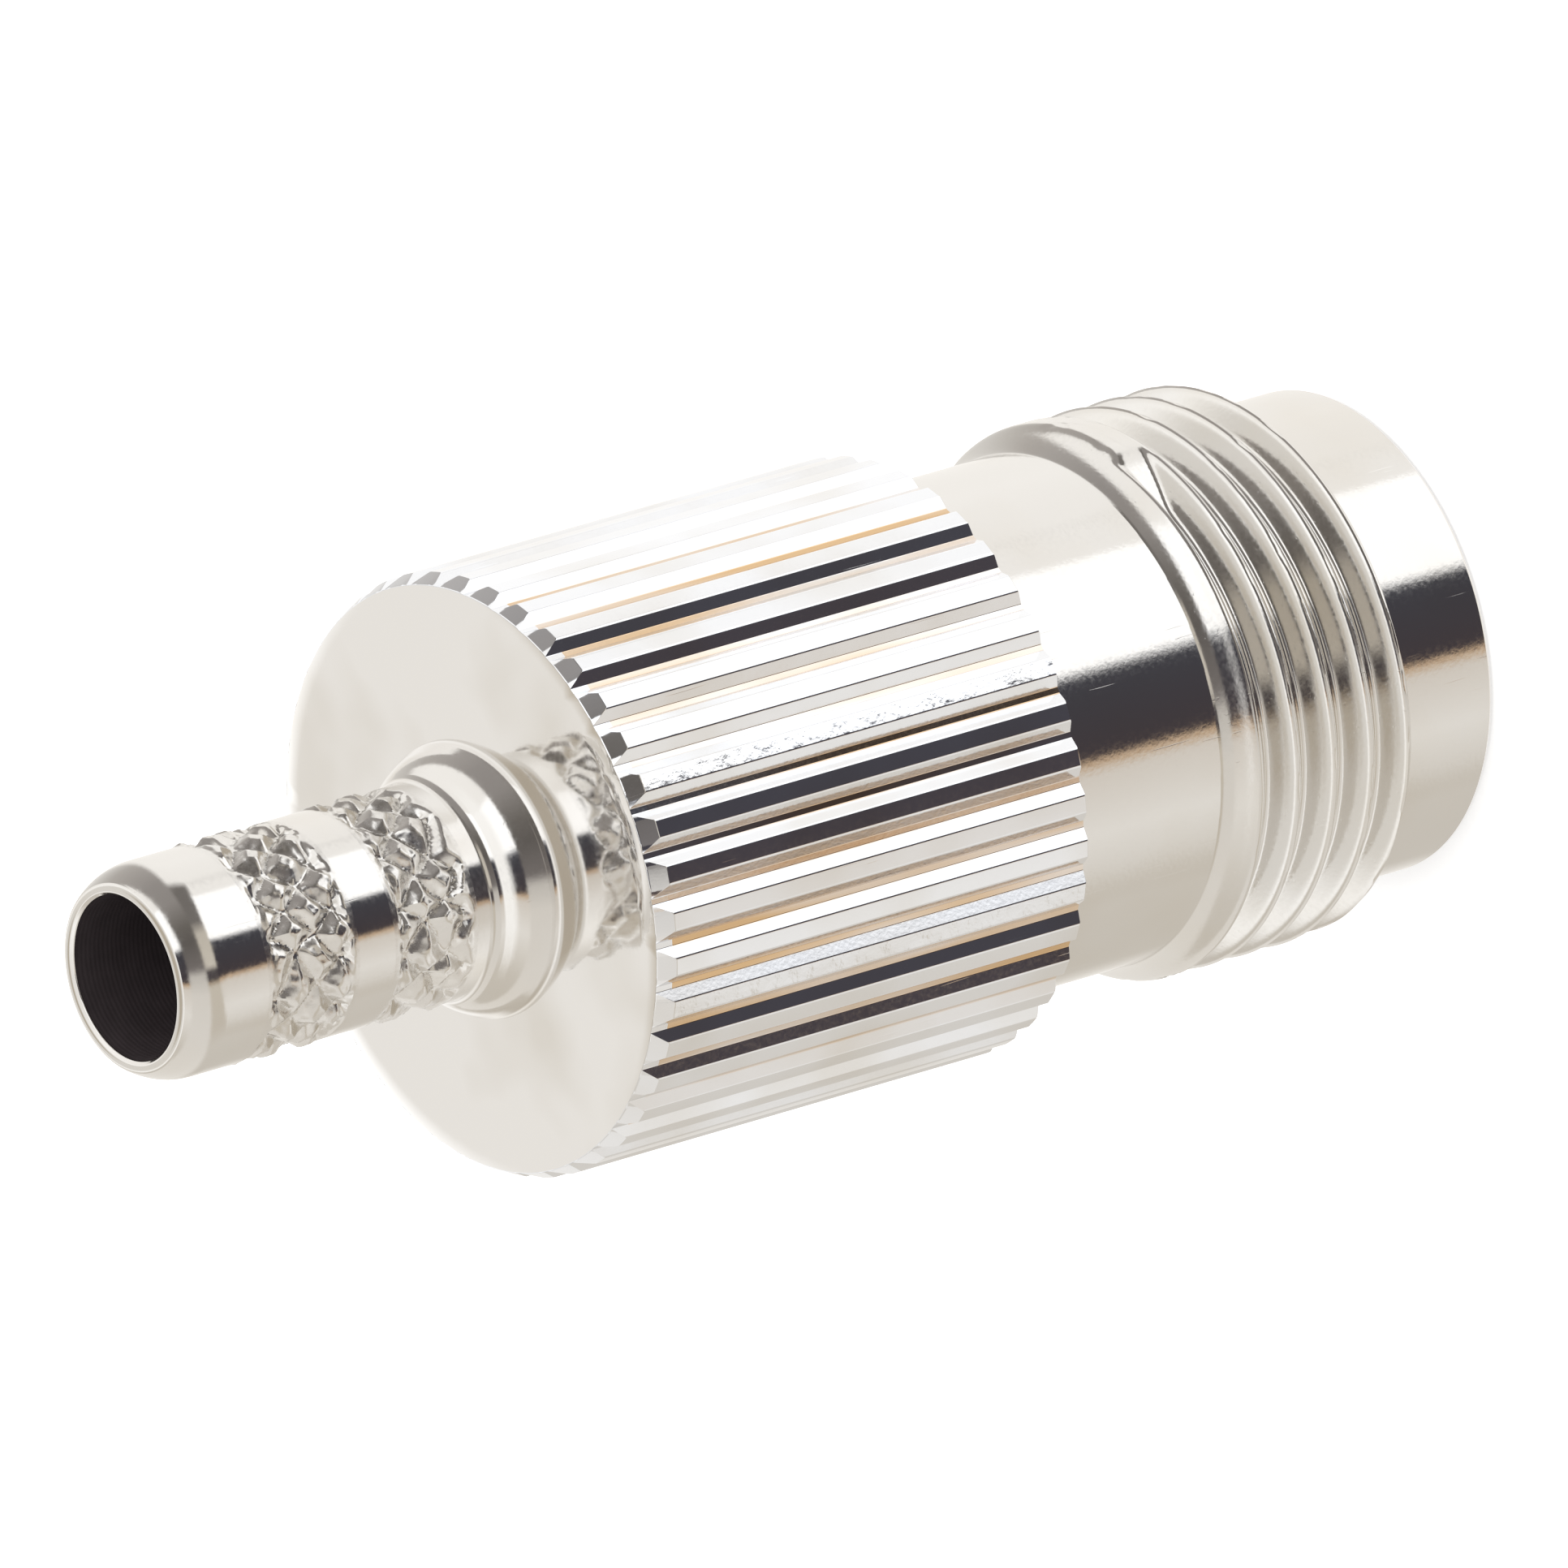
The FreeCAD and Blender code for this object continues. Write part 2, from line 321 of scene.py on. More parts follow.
class StageSettings(bpy.types.PropertyGroup):
    elevation: FloatProperty(
        name="Elevation", description="Camera above the horizon", default=math.radians(35), subtype="ANGLE"
    )
    azimuth: FloatProperty(
        name="Azimuth", description="Camera round the axis", default=math.radians(-1.6), subtype="ANGLE"
    )
    roll: FloatProperty(
        name="Roll", description="Camera turned about its own line of sight",
        default=math.radians(106.0), subtype="ANGLE",
    )
    distance: FloatProperty(
        name="Distance", description="From the camera to the point that it looks at",
        default=1.056, unit="LENGTH", subtype="DISTANCE",
    )
    lens: FloatProperty(name="Lens", description="Focal length in millimetres", default=1260, unit="CAMERA")
    aim_height: length("Aim height", "Height of the point that the camera looks at", 13.64)
    aim_side: length("Aim side", "Sideways place of that point", 0.10)
    floor_radius: length("Floor radius", "Radius of the pale floor", 600)
    lamp_size: length("Lamp size", "Across the round lamp overhead", 500)
    lamp_power: FloatProperty(name="Lamp power", description="Its light in watts", default=2.4, unit="POWER")
    lamp_place: FloatVectorProperty(
        name="Lamp place", description="Middle of that lamp", default=(0.1, -0.05, 0.5),
        subtype="TRANSLATION", unit="LENGTH",
    )


def add_node(tree, kind, inputs=(), **settings):
    """Add a node, set its settings, and feed its inputs from numbers, sockets or other nodes.

    The inputs come in the node's own order, or as a dictionary by their name or number.
    """
    node = tree.nodes.new(kind)
    for name, value in settings.items():
        setattr(node, name, value)
    numbered = inputs if isinstance(inputs, dict) else dict(enumerate(inputs))
    for key, source in numbered.items():
        if isinstance(source, bpy.types.Node):
            source = next(socket for socket in source.outputs if socket.enabled)
        if isinstance(source, bpy.types.NodeSocket):
            tree.links.new(source, node.inputs[key])
        else:
            node.inputs[key].default_value = source
    return node


def new_tree(name, values):
    """Start a geometry tree with a named input for each value, and return it with its inputs."""
    tree = bpy.data.node_groups.new(name, "GeometryNodeTree")
    tree.interface.new_socket("Geometry", in_out="INPUT", socket_type="NodeSocketGeometry")
    for label, value in values.items():
        tree.interface.new_socket(label, in_out="INPUT", socket_type=SOCKET_KINDS[type(value)])
    tree.interface.new_socket("Geometry", in_out="OUTPUT", socket_type="NodeSocketGeometry")
    return tree, add_node(tree, "NodeGroupInput").outputs


def finish_tree(tree, geometry, material):
    """Close a geometry tree: realise its instances, merge its seams and set its material."""
    realised = add_node(tree, "GeometryNodeRealizeInstances", (geometry,))
    merging = {"Geometry": realised, "Distance": MERGE_DISTANCE}
    merged = add_node(tree, "GeometryNodeMergeByDistance", merging)
    finished = add_node(tree, "GeometryNodeSetMaterial", {"Geometry": merged, "Material": material})
    add_node(tree, "NodeGroupOutput", (finished,))
    return tree


def picked(group, *names):
    """Return some of a group's sizes by name, to feed a tree's inputs."""
    return {name: getattr(group, name) for name in names}


def add_object(name, data):
    """Return a new object that is linked to the scene."""
    added = bpy.data.objects.new(name, data)
    bpy.context.scene.collection.objects.link(added)
    return added


def as_mesh(made, name):
    """Return what was built as a mesh."""
    mesh = bpy.data.meshes.new(name)
    made.to_mesh(mesh)
    made.free()
    return mesh


def evaluated_mesh(base):
    """Return what an object's modifiers make of it as a plain mesh, and remove the object."""
    depsgraph = bpy.context.evaluated_depsgraph_get()
    mesh = bpy.data.meshes.new_from_object(base.evaluated_get(depsgraph), depsgraph=depsgraph)
    bpy.data.objects.remove(base)
    return mesh


def run_tree(tree, values, mesh=None):
    """Run a geometry tree on a mesh with its inputs set by name, and return the resulting mesh."""
    base = add_object(tree.name, mesh or bpy.data.meshes.new(tree.name))
    modifier = base.modifiers.new(tree.name, "NODES")
    modifier.node_group = tree
    for socket in tree.interface.items_tree:
        if socket.name in values:
            modifier[socket.identifier] = values[socket.name]
    return evaluated_mesh(base)


def rounded(points, closed=False):
    """Return the points of a line with its corners rounded; a third number rounds that corner.

    A point just before and after each arc keeps the straight parts beside it flat in the reflections.
    """
    outline = []
    for index, point in enumerate(points):
        here = Vector(point[:2])
        if len(point) == 2 or (not closed and index in (0, len(points) - 1)):
            outline.append(here)
            continue
        back = (Vector(points[index - 1][:2]) - here).normalized()
        ahead = (Vector(points[(index + 1) % len(points)][:2]) - here).normalized()
        half = back.angle(ahead) / 2
        centre = here + (back + ahead).normalized() * (point[2] / math.sin(half))
        reach = point[2] / math.tan(half)
        first = here + back * reach - centre
        sweep = first.angle_signed(here + ahead * reach - centre)
        outline.append(here + back * (reach + ARC_LEAD))
        for step in range(ARC_STEPS + 1):
            outline.append(centre + Matrix.Rotation(-sweep * step / ARC_STEPS, 2) @ first)
        outline.append(here + ahead * (reach + ARC_LEAD))
    return outline


def on_circle(radius, angle, height):
    """Return the place that a radius, an angle round the axis and a height give."""
    return radius * math.cos(angle), radius * math.sin(angle), height


def turned(section, columns, closed=False):
    """Return a mesh that a section of radius and height sweeps round the axis."""
    made = bmesh.new()
    rings = []
    for radius, height in rounded(section, closed):
        if radius < MERGE_DISTANCE:
            rings.append([made.verts.new((0, 0, height))] * columns)
            continue
        angles = [FULL_TURN * column / columns for column in range(columns)]
        rings.append([made.verts.new(on_circle(radius, angle, height)) for angle in angles])
    pairs = list(zip(rings, rings[1:]))
    if closed:
        pairs.append((rings[-1], rings[0]))
    for lower, upper in pairs:
        for column in range(columns):
            following = (column + 1) % columns
            corners = (lower[column], lower[following], upper[following], upper[column])
            made.faces.new(dict.fromkeys(corners))
    return as_mesh(made, "turned")


def joined(meshes):
    """Return one mesh made of several, with coincident points merged and faces outward."""
    made = bmesh.new()
    for mesh in meshes:
        made.from_mesh(mesh)
    bmesh.ops.remove_doubles(made, verts=made.verts, dist=MERGE_DISTANCE)
    bmesh.ops.dissolve_degenerate(made, edges=made.edges, dist=MERGE_DISTANCE)
    loose = [vertex for vertex in made.verts if not vertex.link_faces]
    bmesh.ops.delete(made, geom=loose, context="VERTS")
    bmesh.ops.recalc_face_normals(made, faces=made.faces)
    return as_mesh(made, "joined")


def place_piece(name, mesh, node, materials, pick=None):
    """Finish a mesh as the piece that stands for a CAD node; pick gives the material at a place."""
    for material in materials:
        mesh.materials.append(material)
    for polygon in mesh.polygons:
        polygon.use_smooth = True
        polygon.material_index = pick(polygon.center) if pick else 0
    mesh.set_sharp_from_angle(angle=SMOOTH_ANGLE)
    base = add_object(name + "_base", mesh)
    base.modifiers.new("weighted", "WEIGHTED_NORMAL").keep_sharp = True
    finished = evaluated_mesh(base)
    finished.name = name
    piece = add_object(name, finished)
    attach(piece, "root")
    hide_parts(node)


def groove_section(grip):
    """Return one groove and half a ridge each side as angle and radius, evenly cut for the mesh."""
    half_pitch = math.pi * grip.radius / grip.count
    floor = grip.radius - grip.depth
    points = [
        (-half_pitch, grip.radius),
        (-grip.width / 2, grip.radius, grip.ridge_rounding),
        (-grip.floor_width / 2, floor, grip.floor_rounding),
        (grip.floor_width / 2, floor, grip.floor_rounding),
        (grip.width / 2, grip.radius, grip.ridge_rounding),
        (half_pitch, grip.radius),
    ]
    return [(arc / grip.radius, radius) for arc, radius in rounded(points)]


def groove_sector(shell, grip):
    """Return the mesh of one groove with its share of the shoulder, the cone and the rear face."""
    made = bmesh.new()
    front_radius = grip.radius - grip.front_chamfer
    face_radius = grip.radius - grip.rear_chamfer_depth
    cone_slope = grip.rear_chamfer_length / grip.rear_chamfer_depth
    cone_step = grip.edge / math.hypot(1, cone_slope)
    face_drop = FACE_EDGE_DROP * grip.edge
    columns = []
    for angle, radius in groove_section(grip):
        front_height = shell.grip_start + max(0, radius - front_radius)
        room = max(0, radius - face_radius)
        step = min(cone_step, room / CONE_ROWS)
        inner_step = INNER_ROW * step
        cone_start = REAR_FACE - room * cone_slope
        rows = [
            (min(radius, front_radius), shell.grip_start),
            (radius, front_height),
            (radius, front_height + grip.edge),
            (radius, cone_start - grip.edge),
            (radius - CONE_EDGE_DROP * step, cone_start),
        ]
        for down in (step, inner_step, room - inner_step, room - step):
            rows.append((radius - down, cone_start + down * cone_slope))
        rows.append((min(radius, face_radius - face_drop), REAR_FACE - face_drop))
        rows.append((min(radius, face_radius - grip.edge), REAR_FACE))
        columns.append([made.verts.new(on_circle(row, angle, height)) for row, height in rows])
    for left, right in zip(columns, columns[1:]):
        for row in range(len(left) - 1):
            made.faces.new((left[row], right[row], right[row + 1], left[row + 1]))
    count = shell.columns_per_groove
    angles = [(step - count / 2) / count * FULL_TURN / grip.count for step in range(count + 1)]
    shoulder_foot = shell.neck_radius + 2 * shell.corner
    rings = ((shoulder_foot, shell.grip_start, 0), (grip.face_ring_radius, REAR_FACE, -1))
    for radius, height, row in rings:
        inner = [made.verts.new(on_circle(radius, angle, height)) for angle in angles]
        outer = [column[row] for column in columns]
        made.faces.new(inner + outer[::-1])
    return as_mesh(made, "groove_sector")


def repeat_tree(values):
    """Build the tree that repeats a sector round the axis."""
    tree, given = new_tree("repeat_round_axis", values)
    add = partial(add_node, tree)
    points = add("GeometryNodePoints", (given["count"],))
    turn = add(MATH, (add("GeometryNodeInputIndex"), given["count"]), operation="DIVIDE")
    angle = add(MATH, (turn, FULL_TURN), operation="MULTIPLY")
    placed = add("GeometryNodeInstanceOnPoints", {
        "Points": points, "Instance": given["Geometry"], "Rotation": add(COMBINE, {"Z": angle}),
    })
    return finish_tree(tree, placed, given["material"])


def start_wrapped_grid(tree, given):
    """Add the grid that a rule bends round the axis, and return it with its turn and row, 0 to 1."""
    add = partial(add_node, tree)
    across = add(MATH, (given["columns"], 1), operation="ADD")
    along = add(MATH, (given["rows"], 1), operation="ADD")
    grid = add("GeometryNodeMeshGrid", (1, 1, across, along))
    place = add(SEPARATE, (add("GeometryNodeInputPosition"),)).outputs
    turn = add(MATH, (place["X"], 0.5), operation="ADD")
    row = add(MATH, (place["Y"], 0.5), operation="ADD")
    return grid, turn, row


def wrap(tree, turn, radius, height):
    """Return the vector of a place given as turn, radius and height."""
    add = partial(add_node, tree)
    angle = add(MATH, (turn, FULL_TURN), operation="MULTIPLY")
    sides = []
    for operation in ("COSINE", "SINE"):
        side = add(MATH, (angle,), operation=operation)
        sides.append(add(MATH, (side, radius), operation="MULTIPLY"))
    return add(COMBINE, (*sides, height))


def finish_wrapped_grid(tree, given, grid, turn, radius, height):
    """Bend the grid round the axis and close its tree."""
    place = wrap(tree, turn, radius, height)
    bent = add_node(tree, "GeometryNodeSetPosition", {"Geometry": grid, "Position": place})
    return finish_tree(tree, bent, given["material"])


def thread_tree(values):
    """Build the tree that wraps a grid into a screw thread, with its rows along the helix."""
    tree, given = new_tree("screw_thread", values)
    add = partial(add_node, tree)
    grid, turn, row = start_wrapped_grid(tree, given)
    pitch, crest, major = given["pitch"], given["crest_height"], given["major_radius"]
    depth, neck = given["depth"], given["neck_radius"]

    # Height: a row rises by one pitch in a turn, and stops at the thread's ends
    climb = add(MATH, (turn, pitch), operation="MULTIPLY")
    row_number = add(MATH, (row, given["rows"]), operation="MULTIPLY")
    lift = add(MATH, (row_number, given["row_height"], given["first_row"]), operation="MULTIPLY_ADD")
    free_height = add(MATH, (lift, climb), operation="ADD")
    height = add("ShaderNodeClamp", (free_height, given["low_end"], given["high_end"]))

    # Thread form: straight flanks between a rounded crest and a rounded root
    along_helix = add(MATH, (height, climb), operation="SUBTRACT")
    from_crest = add(MATH, (along_helix, crest), operation="SUBTRACT")
    turns = add(MATH, (from_crest, pitch), operation="DIVIDE")
    aside = add(MATH, (turns, 0.5), operation="PINGPONG")
    flank = add(MAP_RANGE, (aside, FLANK_START, FLANK_END, 0, depth), clamp=False)
    crested = add(MATH, (flank, 0, given["crest_rounding"]), operation="SMOOTH_MAX")
    sunk = add(MATH, (crested, depth, given["root_rounding"]), operation="SMOOTH_MIN")

    # The groove ends bluntly: each turn knows how high its own middle has climbed
    whole_turns = add(MATH, (turns,), operation="FLOOR")
    middle_turn = add(MATH, (whole_turns, 0.5), operation="ADD")
    middle_rise = add(MATH, (middle_turn, pitch, crest), operation="MULTIPLY_ADD")
    middle_height = add(MATH, (middle_rise, climb), operation="ADD")
    to_end = add(MATH, (given["last_groove"], middle_height), operation="SUBTRACT")
    left = add(MATH, (to_end, given["run_out"]), operation="DIVIDE")
    left_depth = add(MATH, (left, depth), operation="MULTIPLY")
    ended = add(MATH, (sunk, left_depth, given["root_rounding"]), operation="SMOOTH_MIN")
    cut = add(MATH, (ended, 0), operation="MAXIMUM")

    # Knocks on the crests
    middle = wrap(tree, turn, major, height)
    noise = add(NOISE, {"Vector": middle, "Scale": KNOCKS / MILLIMETRE, "Detail": 2})
    knock = add(MAP_RANGE, (noise, *KNOCK_RANGE, 0, given["dent_depth"]))
    dented = add(MATH, (cut, knock), operation="MAXIMUM")
    crest_radius = add(MATH, (major, dented), operation="SUBTRACT")

    # Envelope: chamfer in front, and behind a hollow cone that runs out on the neck
    from_front = add(MATH, (height, given["low_end"]), operation="SUBTRACT")
    start_radius = add(MATH, (major, given["front_chamfer"]), operation="SUBTRACT")
    chamfer = add(MATH, (start_radius, from_front), operation="ADD")
    above_neck = add(MAP_RANGE, (height, given["high_end"], given["cone_start"], 0, 1), clamp=False)
    hollow = add(MATH, (above_neck, CONE_HOLLOW), operation="POWER")
    step = add(MATH, (major, neck), operation="SUBTRACT")
    cone = add(MATH, (hollow, step, neck), operation="MULTIPLY_ADD")
    fronted = add(MATH, (crest_radius, chamfer), operation="MINIMUM")
    coned = add(MATH, (fronted, cone, given["crest_rounding"]), operation="SMOOTH_MIN")

    # The first row closes the front face, and the last one is the neck's own ring
    is_first = add(MATH, (row_number, 0.5), operation="LESS_THAN")
    faced = add(MIX, {0: is_first, 2: coned, 3: given["face_radius"]}, data_type="FLOAT")
    is_top = add(MATH, (height, given["high_end"], SAME_HEIGHT), operation="COMPARE")
    radius = add(MIX, {0: is_top, 2: faced, 3: neck}, data_type="FLOAT")
    return finish_wrapped_grid(tree, given, grid, turn, radius, height)


def knurl_tree(values):
    """Build the tree that wraps a grid into a band of raised diamonds with a ragged border."""
    tree, given = new_tree("diamond_knurl", values)
    add = partial(add_node, tree)
    grid, turn, row = start_wrapped_grid(tree, given)
    low, high, tube, margin = given["low_end"], given["high_end"], given["tube_radius"], given["margin"]
    height = add(MAP_RANGE, (row, 0, 1, low, high))
    base = wrap(tree, turn, tube, height)

    # Two crossing sets of grooves: each is deepest where its own count is a whole number
    wander = add(NOISE, {"Vector": base, "Scale": WANDERS / MILLIMETRE, "Detail": 0})
    drift = add(MAP_RANGE, (wander, 0, 1, -KNURL_DRIFT, KNURL_DRIFT))
    around = add(MATH, (turn, given["count"], drift), operation="MULTIPLY_ADD")
    upward = add(MATH, (height, given["period"]), operation="DIVIDE")
    walls = []
    for operation in ("ADD", "SUBTRACT"):
        count = add(MATH, (around, upward), operation=operation)
        aside = add(MATH, (count, 0.5), operation="PINGPONG")
        walls.append(add(MAP_RANGE, (aside, *KNURL_WALL, 0, 1)))
    diamond = add(MATH, (*walls, KNURL_ROUNDING), operation="SMOOTH_MIN")

    # Torn and folded metal over the diamonds
    fold_scale = add(MATH, (1, given["crumple_size"]), operation="DIVIDE")
    folds = add(NOISE, {"Vector": base, "Scale": fold_scale, "Detail": 2})
    crumpled = add(MAP_RANGE, (folds, *MOST_OF_NOISE, -0.5, 0.5))
    crumple = add(MATH, (crumpled, given["crumple"]), operation="MULTIPLY")

    # Height over the tube: from the groove floor to the top of the diamonds
    span = add(MATH, (given["proud"], given["depth"]), operation="ADD")
    raised = add(MATH, (diamond, span), operation="MULTIPLY")
    level = add(MATH, (raised, given["depth"]), operation="SUBTRACT")
    rough = add(MATH, (level, crumple), operation="ADD")

    # The border wanders, so that the band ends in single notches and tips
    ragged = add(NOISE, {"Vector": base, "Scale": NOTCHES / MILLIMETRE, "Detail": 2})
    inset = add(MATH, (ragged, margin), operation="MULTIPLY")
    reach = add(MATH, (inset, NOTCH_DEPTH), operation="MULTIPLY")
    ends = []
    for first, second in ((height, low), (high, height)):
        inside = add(MATH, (first, second), operation="SUBTRACT")
        past = add(MATH, (inside, reach), operation="SUBTRACT")
        ends.append(add(MAP_RANGE, (past, 0, margin)))
    in_band = add(MATH, ends, operation="MINIMUM")
    shown = add(MATH, (rough, in_band), operation="MULTIPLY")
    radius = add(MATH, (tube, shown), operation="ADD")
    return finish_wrapped_grid(tree, given, grid, turn, radius, height)


def start_material(name, uniform):
    """Start a material with its uniform values, and return also its tree, shader and coordinates.

    The coordinates are the object's own in millimetres, so a pattern's scale counts to the millimetre.
    """
    material = bpy.data.materials.new(name)
    material.use_nodes = True
    tree = material.node_tree
    shader = tree.nodes["Principled BSDF"]
    for label, value in uniform.items():
        shader.inputs[label].default_value = value
    coordinates = add_node(tree, "ShaderNodeTexCoord").outputs["Object"]
    place = add_node(tree, MAPPING, {"Vector": coordinates, "Scale": (1 / MILLIMETRE,) * 3})
    return material, tree, shader, place


def from_axis(tree, place):
    """Return a place's parts and its distance from the axis."""
    parts = add_node(tree, SEPARATE, (place,)).outputs
    flat = add_node(tree, COMBINE, (parts["X"], parts["Y"]))
    return parts, add_node(tree, "ShaderNodeVectorMath", (flat,), operation="LENGTH").outputs["Value"]


def mottled(tree, place, base, shares, scale):
    """Return a colour that wanders in patches to shares of its red, green and blue."""
    patches = add_node(tree, NOISE, {"Vector": place, "Scale": scale, "Detail": 3})
    deeper = [channel * share for channel, share in zip(base, shares)]
    return add_node(tree, MIX, {0: patches, 6: (*base, 1), 7: (*deeper, 1)}, data_type="RGBA")


def finish_material(tree, shader, tint, relief, depth, gloss=None):
    """Close a material with its colour, its relief of a depth in millimetres, and its gloss."""
    bump = add_node(tree, "ShaderNodeBump", {"Height": relief, "Distance": depth * MILLIMETRE})
    tree.links.new(tint.outputs[2], shader.inputs["Base Color"])
    tree.links.new(bump.outputs["Normal"], shader.inputs["Normal"])
    if gloss:
        tree.links.new(gloss.outputs["Result"], shader.inputs["Roughness"])


def plated(name, finish, plate, roughness, grain_depth, worn_ridges=(), groove=None):
    """Bright silver plate over turned brass: a mirror whose fine grain frays the edges of what it shows.

    It has begun to tarnish in faint patches. Worn ridges, given as degrees round the axis, are scuffed,
    and a groove, given as colour, radius and height, gets that colour as painted shade in streaks within
    them.
    """
    material, tree, shader, place = start_material(name, {"Metallic": 1.0})
    add = partial(add_node, tree)
    patches = add(NOISE, {"Vector": place, "Scale": TARNISH_PATCHES, "Detail": 2})
    tarnished = add(MAP_RANGE, (patches, 0.45, 0.75, 0, MOST_TARNISH))
    tint = add(MIX, {0: tarnished, 6: (*plate, 1), 7: (*finish.tarnish, 1)}, data_type="RGBA")
    parts, radius = from_axis(tree, place)
    # Painted shade: the groove colour in streaks at the foot of the grooves, fading up the walls
    if groove:
        groove_shade, foot, end = groove
        streaks = add(MAPPING, {"Vector": place, "Scale": GROOVE_SHADE_STREAKS})
        shade_noise = add(NOISE, {"Vector": streaks, "Scale": 1, "Detail": 2})
        share = add(MAP_RANGE, (shade_noise, 0.35, 0.65, 0.1, 1))
        deep = add(MAP_RANGE, (radius, foot + GROOVE_SHADE_FADE, foot, 0, share))
        before = add(MATH, (parts["Z"], end), operation="LESS_THAN")
        painted_shade = add(MATH, (deep, before), operation="MULTIPLY")
        tint = add(MIX, {0: painted_shade, 6: tint.outputs[2], 7: (*groove_shade, 1)}, data_type="RGBA")

    # Fine grain and a few hairlines
    grain = add(NOISE, {"Vector": place, "Scale": PLATE_GRAINS, "Detail": 2})
    lean = add(MAPPING, {"Vector": place, "Rotation": HAIRLINE_LEAN, "Scale": HAIRLINES})
    hair = add(NOISE, {"Vector": lean, "Scale": 1, "Detail": 0})
    hairlines = add(MAP_RANGE, (hair, 0.79, 0.82, 0, -HAIRLINE_DEPTH))
    relief = add(MATH, (grain, hairlines), operation="ADD")

    # Scuffs: coarse torn grain on single ridges
    angle = add(MATH, (parts["Y"], parts["X"]), operation="ARCTAN2")
    for degrees in worn_ridges:
        ridge = (angle, math.radians(degrees), math.radians(HALF_RIDGE))
        on_ridge = add(MATH, ridge, operation="COMPARE")
        torn = add(NOISE, {"Vector": place, "Scale": SCUFFS, "Detail": 4})
        scuff = add(MATH, (torn, SCUFF_DEPTH), operation="MULTIPLY")
        kept = add(MATH, (scuff, on_ridge), operation="MULTIPLY")
        relief = add(MATH, (relief, kept), operation="ADD")
    gloss = add(MAP_RANGE, (grain, *MOST_OF_NOISE, roughness * LEAST_ROUGH, roughness * MOST_ROUGH))
    finish_material(tree, shader, tint, relief, grain_depth, gloss)
    return material


def shaded_bore(finish):
    """Dull drilled bore with spiral drill marks, painted dark brown in patches as the shade deep inside the
    tube.
    """
    material, tree, shader, place = start_material("DrilledBoreBrown", {"Roughness": 0.5})
    tint = mottled(tree, place, finish.bore, (0.55, 0.55, 0.55), BORE_SHADE_PATCHES)
    marks = {"Vector": place, "Scale": DRILL_MARKS, "Distortion": 1}
    wave = add_node(tree, "ShaderNodeTexWave", marks, bands_direction="Z")
    finish_material(tree, shader, tint, wave, depth=0.002)
    return material


def fluoropolymer(finish):
    """Turned white fluoropolymer: waxy, slightly see-through, with fine rings from the tool."""
    material, tree, shader, place = start_material("FluoropolymerTurned", {
        "Roughness": 0.38,
        "IOR": 1.35,
        "Subsurface Weight": 0.25,
        "Subsurface Radius": (0.8, 0.75, 0.7),
        "Subsurface Scale": 0.4 * MILLIMETRE,
    })
    tint = mottled(tree, place, finish.fluoropolymer, (0.93, 0.93, 0.93), WAXY_PATCHES)
    parts, radius = from_axis(tree, place)
    feed = add_node(tree, MATH, (parts["Z"], radius), operation="ADD")
    phase = add_node(tree, MATH, (feed, FULL_TURN / TOOL_FEED), operation="MULTIPLY")
    rings = add_node(tree, MATH, (phase,), operation="SINE")
    finish_material(tree, shader, tint, rings, depth=0.003)
    return material


def gold_plate(finish):
    """Thin gold plate over turned alloy: a warm satin mirror whose yellow deepens in patches."""
    material, tree, shader, place = start_material("GoldPlate", {"Metallic": 1.0})
    tint = mottled(tree, place, finish.gold, (0.96, 0.88, 0.72), GOLD_PATCHES)
    grain = add_node(tree, NOISE, {"Vector": place, "Scale": GOLD_GRAINS, "Detail": 2})
    gloss = add_node(tree, MAP_RANGE, (grain, 0, 1, 0.12, 0.3))
    finish_material(tree, shader, tint, grain, depth=0.002, gloss=gloss)
    return material


